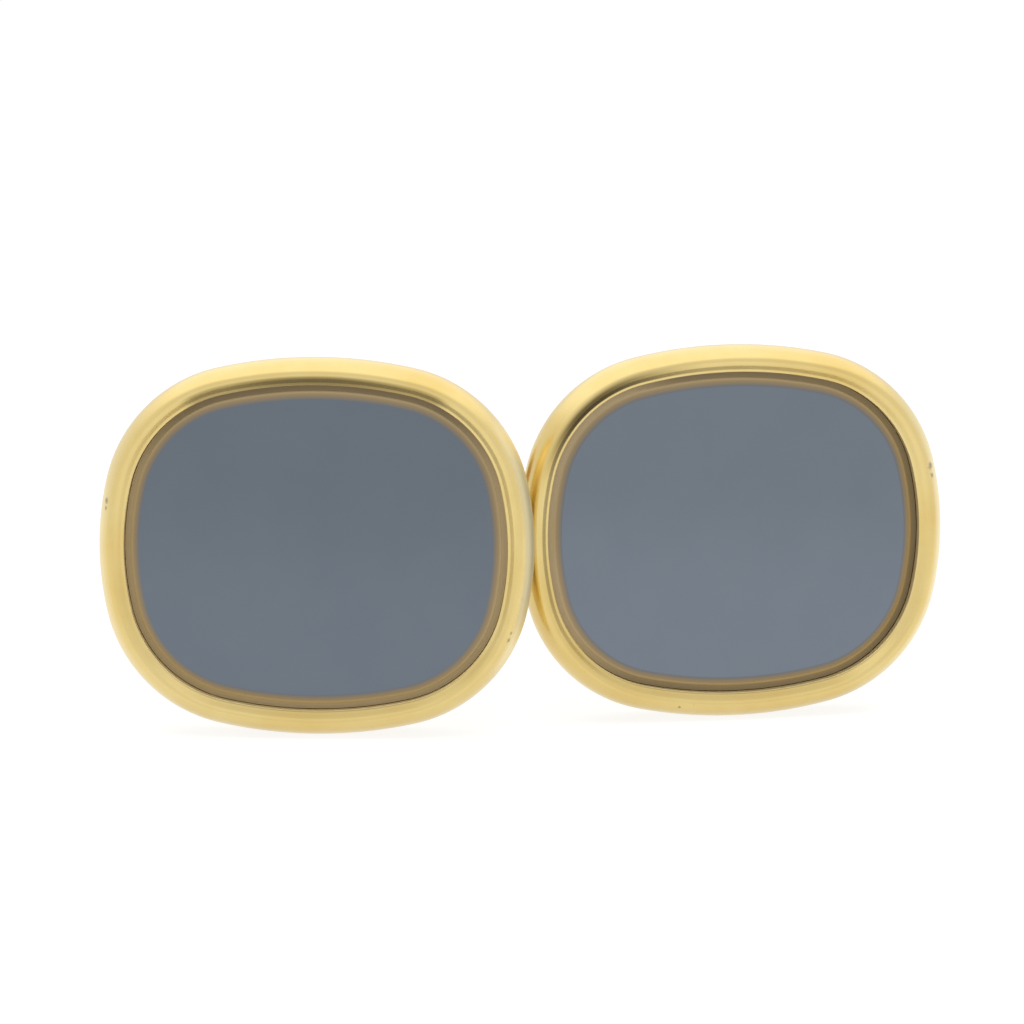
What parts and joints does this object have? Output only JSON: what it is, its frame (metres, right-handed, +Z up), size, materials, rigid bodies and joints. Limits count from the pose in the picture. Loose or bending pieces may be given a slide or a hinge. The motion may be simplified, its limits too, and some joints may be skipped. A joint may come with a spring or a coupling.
{
  "type": "cufflink pair",
  "caption": "Matching pair of cufflinks with cushion-shaped gilt frames, bevelled grey stone tablets, and swivel bars on yokes that turn to pass and lock in a cuff.",
  "frame": {"origin": "middle of the pair's box, on the table", "axes": "+Z up, +X to the right as the faces are seen, +Y away from the viewer, towards the swivel bars"},
  "size_m": [0.0352, 0.023, 0.0157],
  "materials": {
    "gilt": "polished gilding",
    "gilt_back": "polished gilding with fine wear",
    "stone": "mirror polished",
    "cement": "hardened cement",
    "spring_steel": "rolled spring strip"
  },
  "bodies": {
    "left_cufflink": {"left_bezel": "gilt", "left_stone": "stone", "left_cement": "cement", "left_back_plate": "gilt_back", "left_foot": "gilt_back", "left_yoke": "gilt_back", "left_pivot_pin": "gilt_back"},
    "left_swivel_bar": {"left_bar_tube": "gilt_back", "left_bar_upper_cap": "gilt_back", "left_bar_lower_cap": "gilt_back", "left_friction_leaf": "spring_steel"},
    "right_cufflink": {"right_bezel": "gilt", "right_stone": "stone", "right_cement": "cement", "right_back_plate": "gilt_back", "right_foot": "gilt_back", "right_yoke": "gilt_back", "right_pivot_pin": "gilt_back"},
    "right_swivel_bar": {"right_bar_tube": "gilt_back", "right_bar_upper_cap": "gilt_back", "right_bar_lower_cap": "gilt_back", "right_friction_leaf": "spring_steel"}
  },
  "joints": [
    {"name": "left_bar_swivel", "type": "hinge", "parent": "left_cufflink", "child": "left_swivel_bar", "pos_m": [-0.00826, 0.00259, 0.00682], "axis": [0.9997, -0.0262, 0], "range_deg": [-45, 135]},
    {"name": "right_bar_swivel", "type": "hinge", "parent": "right_cufflink", "child": "right_swivel_bar", "pos_m": [0.00674, 0.00544, 0.00682], "axis": [0.9877, 0.1564, 0], "range_deg": [-45, 135]},
    {"name": "right_lift", "type": "slide", "parent": "left_cufflink", "child": "right_cufflink", "axis": [0, 0, 1], "range_m": [0, 0.03]}
  ]
}
